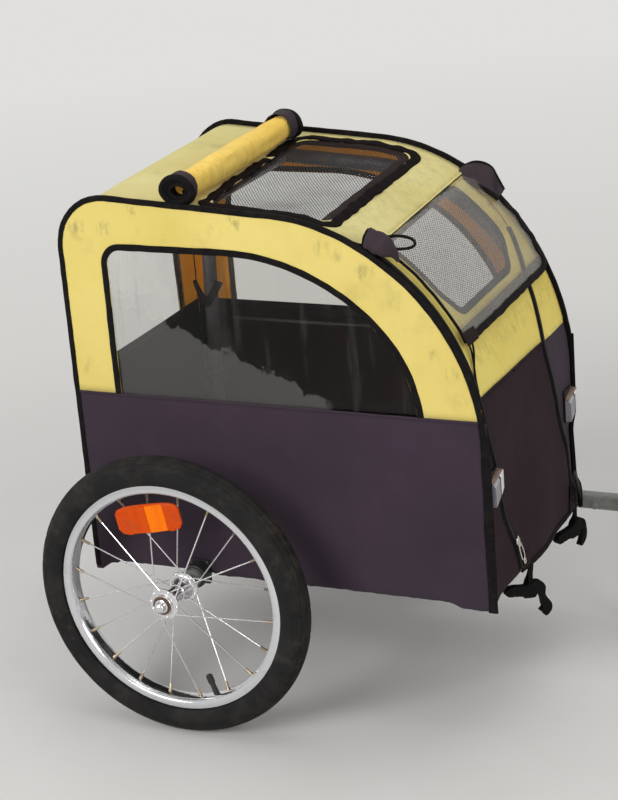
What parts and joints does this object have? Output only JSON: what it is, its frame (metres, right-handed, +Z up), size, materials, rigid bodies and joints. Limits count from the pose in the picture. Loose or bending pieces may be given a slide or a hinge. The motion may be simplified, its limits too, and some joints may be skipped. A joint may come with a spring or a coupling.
{
  "type": "bicycle pet trailer",
  "caption": "Pet trailer on spoked wheels: rounded fabric cabin on a tubular frame, meshed roof hatch, zipped front door, side tow arm with hitch claw and folding parking leg.",
  "frame": {"origin": "centre of the bounding box's base, on the ground that the tyres and the parking foot stand on", "axes": "+X forward towards the hitch, +Y to the trailer's left, +Z up"},
  "size_m": [1.2212, 0.6038, 0.7398],
  "materials": {
    "tyre": "matte",
    "butyl": "matte",
    "chrome": "polished",
    "spoke_steel": "satin",
    "bearing_steel": "satin",
    "frame_grey": "satin",
    "black_steel": "satin",
    "black_plastic": "matte",
    "orange_lens": "gloss",
    "clear_lens": "gloss",
    "yellow_fabric": "matte",
    "roof_fabric": "matte",
    "gold_fabric": "matte",
    "dark_fabric": "matte",
    "clear_vinyl": "gloss",
    "black_net": "matte",
    "floor_board": "matte"
  },
  "bodies": {
    "chassis": {"axle_right": "bearing_steel", "base_rail_right": "frame_grey", "side_hoop_right": "frame_grey", "axle_collar_right": "black_steel", "side_panel_right": "yellow_fabric", "side_window_right": "clear_vinyl", "front_reflector_right": "clear_lens", "front_corner_right": "dark_fabric", "axle_left": "bearing_steel", "base_rail_left": "frame_grey", "side_hoop_left": "frame_grey", "axle_collar_left": "black_steel", "side_panel_left": "yellow_fabric", "side_window_left": "clear_vinyl", "front_reflector_left": "clear_lens", "front_corner_left": "dark_fabric", "axle_beam": "frame_grey", "cross_tube_rear": "frame_grey", "cross_tube_front": "frame_grey", "roof_bow": "frame_grey", "tow_socket": "frame_grey", "tow_clamp_rear": "black_steel", "tow_clamp_front": "black_steel", "hinge_bolt": "bearing_steel", "leg_block": "black_plastic", "floor_board": "floor_board", "rear_panel": "yellow_fabric", "rear_window": "clear_vinyl", "roof_panel": "roof_fabric", "hatch_roll": "gold_fabric", "hatch_net": "black_net"},
    "wheel_right": {"tyre_right": "tyre", "inner_tube_right": "butyl", "rim_right": "chrome", "spoked_hub_right": "spoke_steel", "bearing_outer_right": "bearing_steel", "bearing_inner_right": "bearing_steel", "wheel_reflector_right": "orange_lens"},
    "axle_button_right": {"axle_button_right": "chrome"},
    "hook_right": {"hook_right": "black_plastic"},
    "zip_pull_right": {"zip_pull_right": "black_plastic"},
    "wheel_left": {"tyre_left": "tyre", "inner_tube_left": "butyl", "rim_left": "chrome", "spoked_hub_left": "spoke_steel", "bearing_outer_left": "bearing_steel", "bearing_inner_left": "bearing_steel", "wheel_reflector_left": "orange_lens"},
    "axle_button_left": {"axle_button_left": "chrome"},
    "hook_left": {"hook_left": "black_plastic"},
    "zip_pull_left": {"zip_pull_left": "black_plastic"},
    "front_door": {"front_door": "dark_fabric", "door_net": "black_net"},
    "tow_arm": {"tow_arm": "frame_grey"},
    "clamp_knob": {"clamp_knob": "black_plastic"},
    "hitch_claw": {"hitch_claw": "black_steel"},
    "hitch_pin": {"hitch_pin": "bearing_steel"},
    "parking_leg": {"parking_leg": "frame_grey"},
    "rain_cover": {"rain_cover": "clear_vinyl"}
  },
  "joints": [
    {"name": "wheel_right_spin", "type": "hinge", "parent": "chassis", "child": "wheel_right", "pos_m": [-0.41656, -0.256, 0.194], "axis": [0, 1, 0], "continuous": true},
    {"name": "wheel_left_spin", "type": "hinge", "parent": "chassis", "child": "wheel_left", "pos_m": [-0.41656, 0.256, 0.194], "axis": [0, 1, 0], "continuous": true},
    {"name": "axle_button_right_press", "type": "slide", "parent": "chassis", "child": "axle_button_right", "axis": [0, 1, 0], "range_m": [0, 0.004], "stiffness_N_per_m": 400},
    {"name": "axle_button_left_press", "type": "slide", "parent": "chassis", "child": "axle_button_left", "axis": [0, -1, 0], "range_m": [0, 0.004], "stiffness_N_per_m": 400},
    {"name": "tow_arm_fold", "type": "hinge", "parent": "chassis", "child": "tow_arm", "pos_m": [0.11344, 0.2, 0.183], "axis": [0, 0, 1], "range_deg": [-95, 0]},
    {"name": "clamp_knob_turn", "type": "hinge", "parent": "chassis", "child": "clamp_knob", "pos_m": [0.11344, 0.2, 0.199], "axis": [0, 0, 1], "range_deg": [0, 180]},
    {"name": "hitch_claw_swivel", "type": "hinge", "parent": "tow_arm", "child": "hitch_claw", "pos_m": [0.55706, 0.2, 0.323], "axis": [0, 0, 1], "range_deg": [-60, 60]},
    {"name": "hitch_pin_pull", "type": "slide", "parent": "hitch_claw", "child": "hitch_pin", "axis": [0, 1, 0], "range_m": [0, 0.045]},
    {"name": "parking_leg_fold", "type": "hinge", "parent": "chassis", "child": "parking_leg", "pos_m": [0.06344, 0.2, 0.153], "axis": [0, 1, 0], "range_deg": [0, 90]},
    {"name": "front_door_lift", "type": "hinge", "parent": "chassis", "child": "front_door", "pos_m": [-0.14356, 0, 0.65168], "axis": [0, 1, 0], "range_deg": [-70, 0]},
    {"name": "rain_cover_lift", "type": "hinge", "parent": "front_door", "child": "rain_cover", "pos_m": [-0.14048, 0, 0.65857], "axis": [0, 1, 0], "range_deg": [-100, 0]},
    {"name": "hook_right_swing", "type": "hinge", "parent": "front_door", "child": "hook_right", "pos_m": [-0.00356, -0.05, 0.1888], "axis": [0, 1, 0], "range_deg": [-35, 35]},
    {"name": "hook_left_swing", "type": "hinge", "parent": "front_door", "child": "hook_left", "pos_m": [-0.00356, 0.142, 0.1888], "axis": [0, 1, 0], "range_deg": [-35, 35]},
    {"name": "zip_pull_right_swing", "type": "hinge", "parent": "chassis", "child": "zip_pull_right", "pos_m": [-0.00536, -0.082, 0.2405], "axis": [0, 1, 0], "range_deg": [-90, 0]},
    {"name": "zip_pull_left_swing", "type": "hinge", "parent": "chassis", "child": "zip_pull_left", "pos_m": [-0.00536, 0.15, 0.2365], "axis": [0, 1, 0], "range_deg": [-90, 0]}
  ]
}
